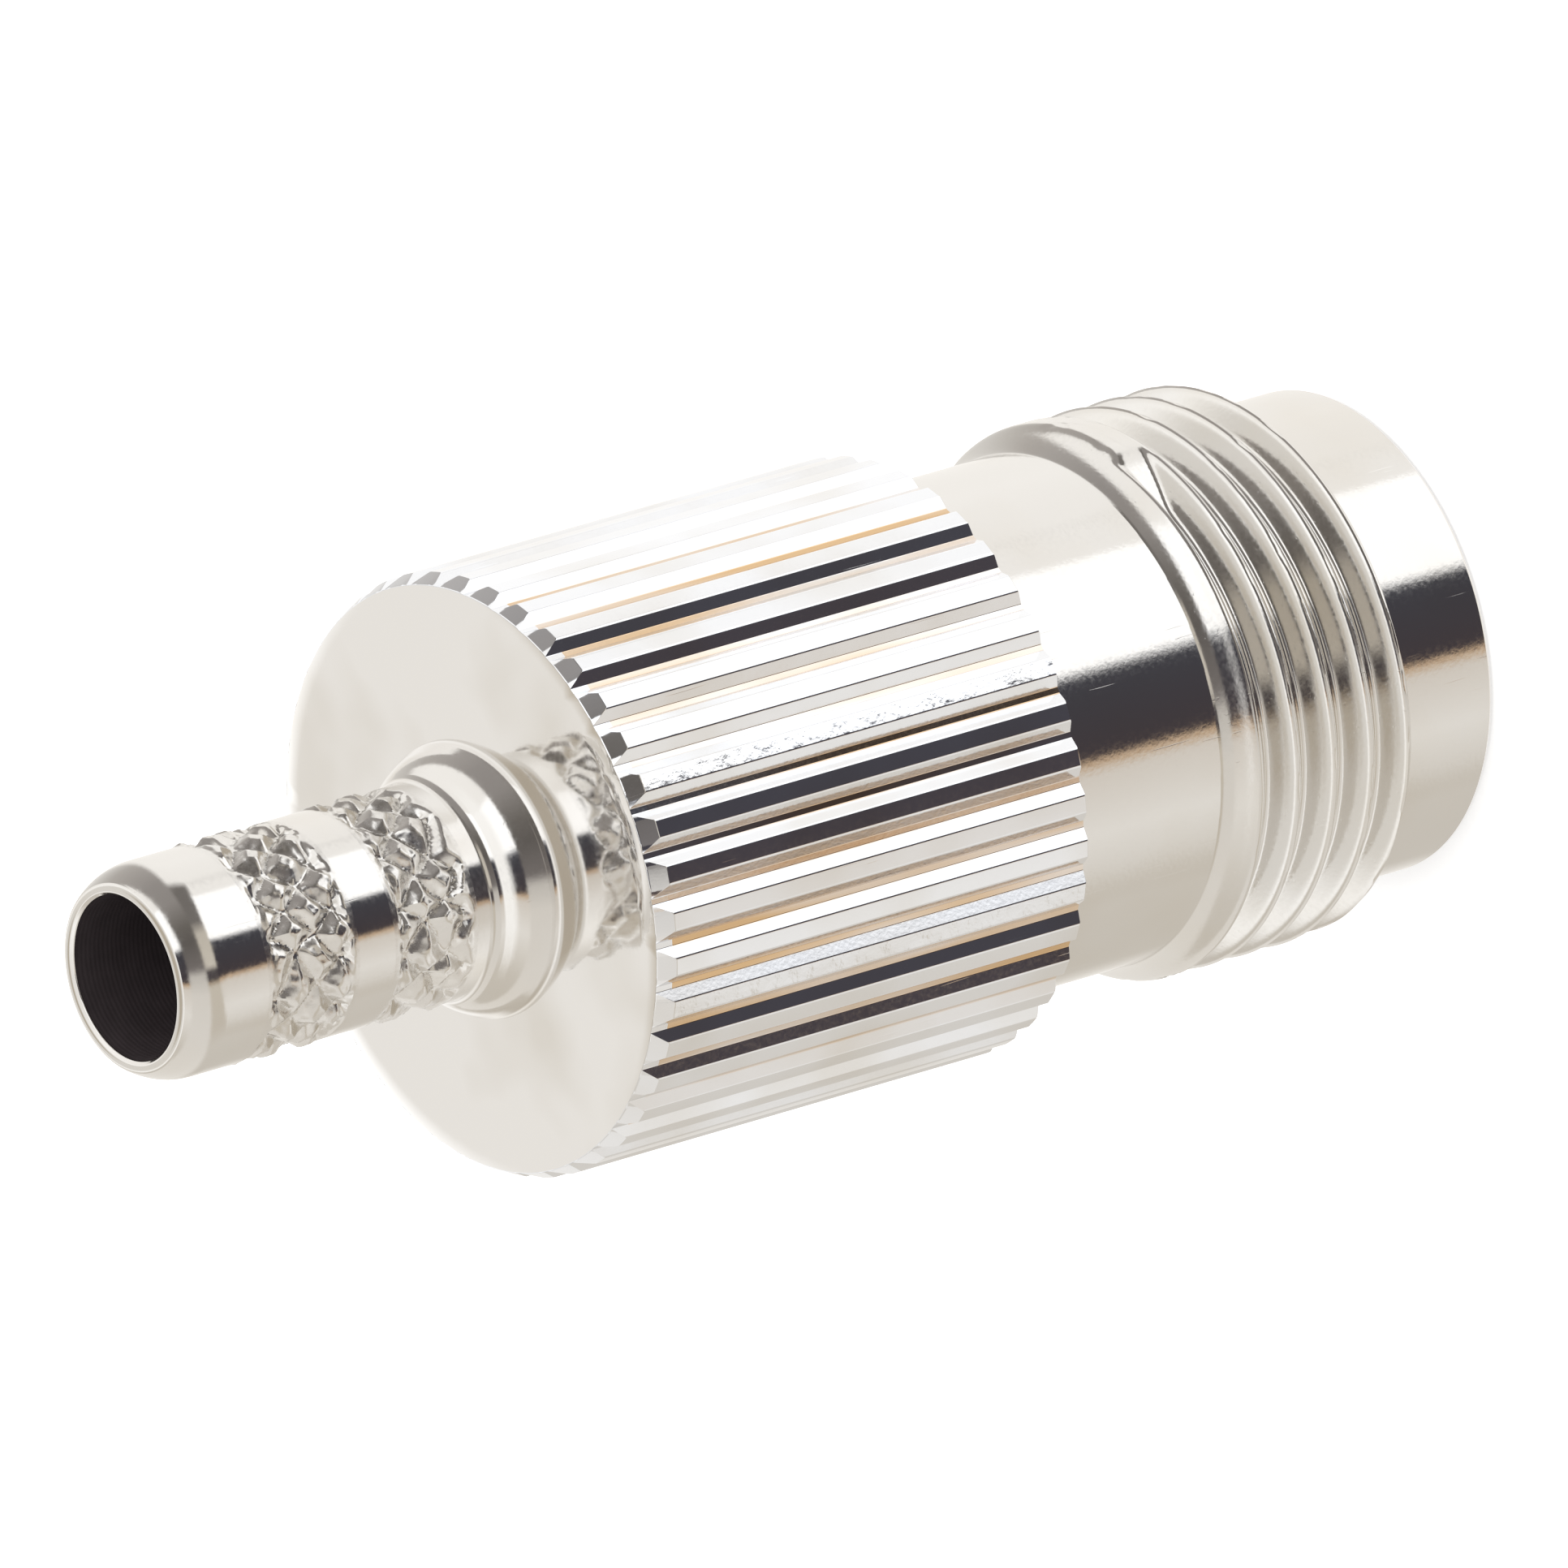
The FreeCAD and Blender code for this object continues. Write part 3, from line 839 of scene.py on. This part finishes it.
class JACK_OT_shell(bpy.types.Operator):
    """Build the shell: turned body, screw thread and grooved grip"""

    bl_idname = "jack.shell"
    bl_label = "Shell"

    def execute(self, context):
        scene = context.scene
        shell, grip, thread = scene.jack_shell, scene.jack_grip, scene.jack_thread
        finish = scene.jack_finishes
        # Painted shade in a warm tan at the foot of the grip's grooves
        foot = (grip.radius - grip.depth) / MILLIMETRE + GROOVE_SHADE_RISE
        end = (REAR_FACE - GROOVE_SHADE_END * grip.rear_chamfer_length) / MILLIMETRE
        groove_shade = (finish.groove, foot, end)
        # One silver plate in lit and shaded copies: turned and thread plates painted darker as shade, grip
        # and faced plates painted brighter
        plate = plated("SilverPlateTurned", finish, finish.turned, roughness=0.09, grain_depth=0.0012)
        rolled = plated("SilverPlateThread", finish, finish.turned, roughness=0.13, grain_depth=0.0012)
        bright = plated(
            "SilverPlateGrip", finish, finish.grip, roughness=0.09, grain_depth=0.0008,
            worn_ridges=WORN_RIDGES, groove=groove_shade,
        )
        mirror = plated("SilverPlateFaced", finish, finish.faced, roughness=0.06, grain_depth=0.0001)
        columns = grip.count * shell.columns_per_groove
        chamfered = thread.major_radius - thread.front_chamfer
        face_radius = chamfered - thread.depth + FACE_RING_ROOM
        face_radius = max(face_radius, shell.pilot_radius + 2 * shell.corner)

        rear = turned([
            (grip.face_ring_radius, REAR_FACE),
            (shell.rear_bore_radius, REAR_FACE),
            (shell.rear_bore_radius, SEAT_END),
            (shell.seat_radius, SEAT_END),
            (shell.seat_radius, shell.socket_depth),
            (shell.socket_radius, shell.socket_depth),
            (shell.socket_radius, shell.socket_entry_length + shell.socket_taper),
            (shell.socket_entry_radius, shell.socket_entry_length),
            (shell.socket_entry_radius, shell.rim_chamfer, shell.edge),
            (shell.socket_entry_radius + shell.rim_chamfer, RIM_HEIGHT, shell.edge),
            (shell.pilot_radius - shell.rim_chamfer, RIM_HEIGHT, shell.edge),
            (shell.pilot_radius, shell.rim_chamfer, shell.edge),
            (shell.pilot_radius, shell.pilot_length, shell.corner),
            (face_radius, shell.pilot_length),
        ], columns)
        neck = turned([
            (shell.neck_radius, shell.neck_start),
            (shell.neck_radius, shell.grip_start, shell.corner),
            (shell.neck_radius + 2 * shell.corner, shell.grip_start),
        ], columns)
        values = {"count": grip.count, "material": plate}
        ribs = run_tree(repeat_tree(values), values, groove_sector(shell, grip))

        row_height = thread.pitch / thread.rows_per_pitch
        turns_below = math.ceil((thread.crest_height - shell.pilot_length) / thread.pitch + 1)
        first_row = thread.crest_height - turns_below * thread.pitch
        values = {
            "columns": columns,
            "rows": math.ceil((shell.neck_start - first_row) / row_height) + 1,
            "row_height": row_height,
            "first_row": first_row,
            "low_end": shell.pilot_length,
            "high_end": shell.neck_start,
            "face_radius": face_radius,
            "neck_radius": shell.neck_radius,
            "material": plate,
        }
        values.update(picked(
            thread, "pitch", "crest_height", "major_radius", "depth", "front_chamfer", "cone_start",
            "last_groove", "run_out", "crest_rounding", "root_rounding", "dent_depth",
        ))
        helix = run_tree(thread_tree(values), values)
        mesh = joined([rear, neck, ribs, helix])

        def pick(centre):
            """Tell the faced rear end, the turned pilot and bores, the thread and the grip apart."""
            if centre.z > REAR_FACE - MERGE_DISTANCE:
                return 3
            if Vector((centre.x, centre.y)).length < shell.pilot_radius + shell.corner:
                return 0
            if centre.z < shell.neck_start:
                return 1
            return 2 * int(centre.z > shell.grip_start)

        place_piece("shell_plated", mesh, "shell", [plate, rolled, bright, mirror], pick)
        return {"FINISHED"}


class JACK_OT_spigot(bpy.types.Operator):
    """Build the crimp spigot: bead, tube, two knurled bands and coned nose"""

    bl_idname = "jack.spigot"
    bl_label = "Crimp spigot"

    def execute(self, context):
        scene = context.scene
        spigot, knurl, finish = scene.jack_spigot, scene.jack_knurl, scene.jack_finishes
        # The tube and knurl take the turned plate, which is painted darker than the grip's as shade
        plate = plated("SilverPlateTube", finish, finish.turned, roughness=0.10, grain_depth=0.0006)
        rolled = plated("SilverPlateKnurled", finish, finish.turned, roughness=0.20, grain_depth=0.0010)
        # The deep bore is painted dark as shade
        bore = shaded_bore(finish)
        columns = knurl.count * knurl.columns_per_diamond
        bands = [
            (knurl.front_start - knurl.margin, knurl.front_end + knurl.margin),
            (knurl.rear_start - knurl.margin, knurl.rear_end + knurl.margin),
        ]
        chamber_end = SEAT_END + spigot.chamber_length
        cone_end = chamber_end + spigot.chamber_radius - spigot.bore_radius
        flare = REAR_FACE + spigot.flare_start
        root = turned([
            (spigot.bore_radius, cone_end),
            (spigot.chamber_radius, chamber_end),
            (spigot.chamber_radius, SEAT_END),
            (spigot.shank_radius - spigot.shank_chamfer, SEAT_END),
            (spigot.shank_radius, SEAT_END + spigot.shank_chamfer),
            (spigot.shank_radius, REAR_FACE),
            (spigot.bead_radius, REAR_FACE),
            (spigot.bead_radius, REAR_FACE + spigot.bead_land, spigot.bead_rounding),
            (spigot.flare_radius, flare, spigot.flare_rounding),
            (spigot.tube_radius, flare + spigot.flare_length, spigot.flare_foot),
            (spigot.tube_radius, bands[0][0]),
        ], columns)
        middle = turned([(spigot.tube_radius, bands[0][1]), (spigot.tube_radius, bands[1][0])], columns)
        inner_rounding = spigot.lip_rounding / 2
        nose = turned([
            (spigot.tube_radius, bands[1][1]),
            (spigot.tube_radius, MOUTH_HEIGHT - spigot.nose_length, spigot.nose_rounding),
            (spigot.lip_radius, MOUTH_HEIGHT, spigot.lip_rounding),
            (spigot.bore_radius + spigot.bore_chamfer, MOUTH_HEIGHT, inner_rounding),
            (spigot.bore_radius, MOUTH_HEIGHT - spigot.bore_chamfer, inner_rounding),
            (spigot.bore_radius, cone_end),
        ], columns)
        sizes = picked(knurl, "margin", "proud", "depth", "period", "crumple", "crumple_size", "count")
        sizes.update({"tube_radius": spigot.tube_radius, "columns": columns, "material": plate})
        band_values = []
        for low, high in bands:
            rows = round((high - low) / knurl.row_height)
            band_values.append({"low_end": low, "high_end": high, "rows": rows, **sizes})
        tree = knurl_tree(band_values[0])
        knurled = [run_tree(tree, values) for values in band_values]
        mesh = joined([root, middle, nose, *knurled])
        bore_limit = (spigot.bore_radius + spigot.chamber_radius) / 2
        # Where the bore's painted shade ends, just inside the mouth
        bore_top = MOUTH_HEIGHT - BORE_SHADE_START * spigot.bore_chamfer

        def pick(centre):
            """Tell the drilled bore, the two knurled bands and the plain tube apart."""
            if Vector((centre.x, centre.y)).length < bore_limit:
                return int(cone_end < centre.z < bore_top)
            return 2 * int(any(low < centre.z < high for low, high in bands))

        place_piece("spigot_plated", mesh, "crimp_spigot", [plate, bore, rolled], pick)
        return {"FINISHED"}


class JACK_OT_insulator(bpy.types.Operator):
    """Build the insulator: post, seat and the pocket for the contact's collar"""

    bl_idname = "jack.insulator"
    bl_label = "Insulator"

    def execute(self, context):
        scene = context.scene
        part, shell, contact = scene.jack_insulator, scene.jack_shell, scene.jack_contact
        hole = contact.radius + part.contact_room
        pocket = contact.collar_radius + part.contact_room
        lip = part.pocket_floor + contact.collar_length + part.contact_room
        fit = shell.seat_radius - part.seat_fit
        edge = part.post_edge / 3
        mesh = joined([turned([
            (hole, part.post_front, edge),
            (part.post_radius - part.post_edge, part.post_front, edge),
            (part.post_radius, part.post_front + part.post_edge, edge),
            (part.post_radius, shell.socket_depth),
            (fit, shell.socket_depth),
            (fit, SEAT_END - part.seat_edge, edge),
            (fit - part.seat_edge, SEAT_END, edge),
            (part.pocket_mouth_radius, SEAT_END, edge),
            (part.pocket_mouth_radius, lip + part.pocket_lip_length),
            (pocket - part.pocket_lip_depth, lip + part.pocket_lip_length),
            (pocket - part.pocket_lip_depth, lip),
            (pocket, lip),
            (pocket, part.pocket_floor),
            (hole, part.pocket_floor),
        ], contact.columns, closed=True)])
        place_piece("insulator_white", mesh, "insulator", [fluoropolymer(scene.jack_finishes)])
        return {"FINISHED"}


def box_mesh(size, centre):
    """Return a box as a mesh."""
    made = bmesh.new()
    bmesh.ops.create_cube(made, size=1, matrix=Matrix.Translation(centre) @ Matrix.Diagonal((*size, 1)))
    return as_mesh(made, "box")


class JACK_OT_contact(bpy.types.Operator):
    """Build the centre contact: slotted fingers, collar and crimp pot"""

    bl_idname = "jack.contact"
    bl_label = "Centre contact"

    def execute(self, context):
        scene = context.scene
        part, insulator = scene.jack_contact, scene.jack_insulator
        drill_slope = 1 / math.tan(HALF_DRILL_POINT)
        collar_top = insulator.pocket_floor + part.collar_length
        pot_top = collar_top + part.pot_length
        pot_end = pot_top - part.pot_bore_depth
        bore_end = part.front + part.bore_depth
        edge = part.bore_chamfer / 3
        body = joined([turned([
            (0, bore_end + part.bore_radius * drill_slope),
            (part.bore_radius, bore_end),
            (part.bore_radius, part.front + part.bore_chamfer, edge),
            (part.bore_radius + part.bore_chamfer, part.front, edge),
            (part.radius, part.front, part.rounding),
            (part.radius, insulator.pocket_floor),
            (part.collar_radius, insulator.pocket_floor, edge),
            (part.collar_radius, collar_top, edge),
            (part.pot_radius, collar_top),
            (part.pot_radius, pot_top, edge),
            (part.pot_bore_radius + part.pot_chamfer, pot_top, edge),
            (part.pot_bore_radius, pot_top - part.pot_chamfer, edge),
            (part.pot_bore_radius, pot_end),
            (0, pot_end - part.pot_bore_radius * drill_slope),
        ], part.columns)])

        # Two crossed slots from the front, and the sight hole through one wall of the pot
        reach = 3 * part.radius
        slot_height = part.slot_length + 2 * part.slot_width
        slot_centre = (0, 0, part.front + part.slot_length - slot_height / 2)
        made = bmesh.new()
        hole_place = Matrix.Translation((part.pot_radius, 0, pot_end + part.sight_hole_height))
        bmesh.ops.create_cone(
            made, cap_ends=True, segments=SIGHT_HOLE_SIDES, radius1=part.sight_hole_radius,
            radius2=part.sight_hole_radius, depth=2 * part.pot_radius,
            matrix=hole_place @ Matrix.Rotation(math.radians(90), 4, "Y"),
        )
        cutters = [
            box_mesh((reach, part.slot_width, slot_height), slot_centre),
            box_mesh((part.slot_width, reach, slot_height), slot_centre),
            as_mesh(made, "sight_hole"),
        ]
        base = add_object("contact_base", body)
        tools = [add_object(cutter.name, cutter) for cutter in cutters]
        for tool in tools:
            cut = base.modifiers.new(tool.name, "BOOLEAN")
            cut.operation = "DIFFERENCE"
            cut.solver = "EXACT"
            cut.object = tool
        mesh = joined([evaluated_mesh(base)])
        for tool in tools:
            bpy.data.objects.remove(tool)
        place_piece("contact_gold", mesh, "centre_contact", [gold_plate(scene.jack_finishes)])
        return {"FINISHED"}


# Panels as place and colour. The first three run round the axis, in degrees of azimuth: walls and
# cylinders mirror the low ones, thread grooves the next and chamfers the middle ones. All that leans
# further up mirrors the high ones, which are placed by their lift.
LOW_PANELS = (
    (-180, "#DCD9D4"), (-150, "#B9B4AC"), (-100, "#BFBAB2"), (-60, "#D5D2CD"), (-33, "#C6C0B8"),
    (-28, "#B59C80"), (-25, "#3D373A"), (9, "#3C3C42"), (14, "#FFFFFF"), (61, "#FFFFFF"),
    (63, "#E4E2DF"), (120, "#E7E5E2"), (179.9, "#DCD9D4"),
)
GROOVE_PANELS = (
    (-180, "#DCD9D4"), (-150, "#B9B4AC"), (-100, "#BFBAB2"), (-75, "#B7B0A5"), (-33, "#B9B2A6"),
    (-29, "#9A8B78"), (-26, "#454042"), (-18, "#454042"), (-12, "#BDB7AD"), (20, "#B3ADA3"),
    (32, "#6A6663"), (74, "#6A6663"), (84, "#E4E2DF"), (120, "#E7E5E2"), (179.9, "#DCD9D4"),
)
MIDDLE_PANELS = (
    (-180, "#D6D3CE"), (-40, "#C8C4BE"), (-20, "#B4B0AA"), (-12, "#6B6664"), (15, "#585451"),
    (32, "#625E5A"), (60, "#85817E"), (86, "#8A8683"), (130, "#A5A19D"), (170, "#D6D4D0"),
    (179.9, "#D6D3CE"),
)
HIGH_PANELS = (
    (0.62, "#EDECEA"), (0.73, "#CCC9C4"), (0.84, "#CCC9C4"), (0.93, "#A9A194"), (1.0, "#A9A194"),
)


def studio_world():
    """Light from all round: a plain dome for matt pieces, and a studio of soft panels for mirrors.

    Azimuth runs from the front towards +X. Lift is the height of a direction, less a quarter of its
    lean to the front, so that a turned surface shows one lift all round and the panels as bands.
    """
    world = bpy.data.worlds.new("studio")
    world.use_nodes = True
    tree = world.node_tree
    tree.nodes.clear()
    add = partial(add_node, tree)
    direction = add("ShaderNodeTexCoord").outputs["Generated"]
    parts = add(SEPARATE, (direction,)).outputs
    toward = add(MATH, (parts["Y"], -1), operation="MULTIPLY")
    azimuth = add(MATH, (parts["X"], toward), operation="ARCTAN2")
    around = add(MAP_RANGE, (azimuth, -math.pi, math.pi))
    lift = add(MATH, (toward, -FRONT_LEAN, parts["Z"]), operation="MULTIPLY_ADD")
    upward = add(MAP_RANGE, (lift, -1, 1))

    ramps = []
    for place, panels, start, span in (
        (around, LOW_PANELS, -180, 360), (around, GROOVE_PANELS, -180, 360),
        (around, MIDDLE_PANELS, -180, 360), (upward, HIGH_PANELS, -1, 2),
    ):
        ramp = add("ShaderNodeValToRGB", (place,))
        stops = ramp.color_ramp.elements
        while len(stops) < len(panels):
            stops.new(0.5)
        for stop, (value, hex_colour) in zip(stops, panels):
            stop.position = (value - start) / span
            stop.color = (*linear(hex_colour), 1)
        ramps.append(ramp)
    low, grooves, middle, high = ramps
    studio = low.outputs["Color"]

    # Each layer of panels takes over from the one before between two lifts
    layers = ((grooves, -0.62, -0.55), (middle, -0.33, -0.22), (low, 0.18, 0.24), (high, 0.42, 0.58))
    for layer, first, last in layers:
        share = add(MAP_RANGE, (lift, first, last), interpolation_type="SMOOTHSTEP")
        studio = add(MIX, {0: share, 6: studio, 7: layer}, data_type="RGBA").outputs[2]
    panels = add(BACKGROUND, (studio, PANEL_STRENGTH))
    dome = add(BACKGROUND, ((1, 1, 1, 1), DOME_STRENGTH))
    white = add(BACKGROUND, ((1, 1, 1, 1), 1))
    rays = add("ShaderNodeLightPath").outputs
    mirrored = add(MIX_SHADER, (rays["Is Glossy Ray"], dome, panels))
    seen = add(MIX_SHADER, (rays["Is Camera Ray"], mirrored, white))
    add("ShaderNodeOutputWorld", (seen,))
    return world


def floor_material():
    """Pale seamless paper: matt white that keeps a soft shadow, and open when seen from below."""
    material = bpy.data.materials.new("SeamlessPaper")
    material.use_nodes = True
    tree = material.node_tree
    tree.nodes.clear()
    add = partial(add_node, tree)
    matt = add("ShaderNodeBsdfDiffuse", {"Color": (*linear("#F2F2F2"), 1)})
    glow = add("ShaderNodeEmission", {"Color": (1, 1, 1, 1), "Strength": PAPER_GLOW})
    rays = add("ShaderNodeLightPath").outputs
    dark = add("ShaderNodeEmission", {"Strength": 0})
    lit = add(MIX_SHADER, (rays["Is Camera Ray"], dark, glow))
    paper = add("ShaderNodeAddShader", (matt, lit))
    clear = add("ShaderNodeBsdfTransparent")
    back = add("ShaderNodeNewGeometry").outputs["Backfacing"]
    sheet = add(MIX_SHADER, (back, paper, clear))
    add("ShaderNodeOutputMaterial", (sheet,))
    return material


class JACK_OT_stage(bpy.types.Operator):
    """Build the floor, the light and the camera"""

    bl_idname = "jack.stage"
    bl_label = "Stage"

    def execute(self, context):
        scene = context.scene
        stage = scene.jack_stage
        scene.world = studio_world()
        scene.view_settings.view_transform = "Standard"

        made = bmesh.new()
        bmesh.ops.create_circle(made, cap_ends=True, radius=stage.floor_radius, segments=FLOOR_SIDES)
        floor = add_object("floor", as_mesh(made, "floor"))
        floor.data.materials.append(floor_material())
        floor.location.z = RIM_HEIGHT
        floor.visible_glossy = False

        lamp = bpy.data.lights.new("overhead_panel", "AREA")
        lamp.shape = "DISK"
        lamp.size = stage.lamp_size
        lamp.energy = stage.lamp_power
        panel = add_object("overhead_panel", lamp)
        panel.location = stage.lamp_place
        panel.rotation_euler = Vector(panel.location).to_track_quat("Z", "Y").to_euler()
        panel.visible_glossy = False
        panel.visible_camera = False

        turn = Matrix.Rotation(stage.azimuth, 3, "Z")
        line = turn @ Vector((0, -math.cos(stage.elevation), math.sin(stage.elevation)))
        sideways = turn @ Vector((1, 0, 0))
        upward = line.cross(sideways)
        cosine, sine = math.cos(stage.roll), math.sin(stage.roll)
        right = cosine * sideways - sine * upward
        up = sine * sideways + cosine * upward
        aim = turn @ Vector((stage.aim_side, 0, stage.aim_height))
        view = Matrix((right, up, line)).transposed().to_4x4()
        view.translation = aim + line * stage.distance
        data = bpy.data.cameras.new("camera")
        data.sensor_width = 36
        data.lens = stage.lens
        data.clip_start = NEAREST
        data.clip_end = FARTHEST
        camera = add_object("camera", data)
        camera.matrix_world = view
        scene.camera = camera
        return {"FINISHED"}


class JACK_PT_sidebar(bpy.types.Panel):
    """List the jack's pieces and their main sizes"""

    bl_idname = "JACK_PT_sidebar"
    bl_label = "Coaxial jack"
    bl_space_type = "VIEW_3D"
    bl_region_type = "UI"
    bl_category = "Coaxial jack"

    def draw(self, context):
        for operator in OPERATORS:
            self.layout.operator(operator.bl_idname)
        for name, group in GROUPS.items():
            box = self.layout.box()
            box.label(text=name.replace("jack_", "").capitalize())
            for label in group.__annotations__:
                box.prop(getattr(context.scene, name), label)


GROUPS = {
    "jack_shell": ShellSizes,
    "jack_grip": GripSizes,
    "jack_thread": ThreadSizes,
    "jack_spigot": SpigotSizes,
    "jack_knurl": KnurlSizes,
    "jack_insulator": InsulatorSizes,
    "jack_contact": ContactSizes,
    "jack_finishes": Finishes,
    "jack_stage": StageSettings,
}
OPERATORS = (JACK_OT_stage, JACK_OT_shell, JACK_OT_spigot, JACK_OT_insulator, JACK_OT_contact)
CLASSES = (*GROUPS.values(), *OPERATORS, JACK_PT_sidebar)


def register():
    for kind in CLASSES:
        bpy.utils.register_class(kind)
    for name, group in GROUPS.items():
        setattr(bpy.types.Scene, name, PointerProperty(type=group))


def unregister():
    for name in GROUPS:
        delattr(bpy.types.Scene, name)
    for kind in reversed(CLASSES):
        bpy.utils.unregister_class(kind)


def main():
    register()
    bpy.ops.jack.stage()
    bpy.ops.jack.shell()
    bpy.ops.jack.spigot()
    bpy.ops.jack.insulator()
    bpy.ops.jack.contact()


if __name__ == "__main__":
    main()
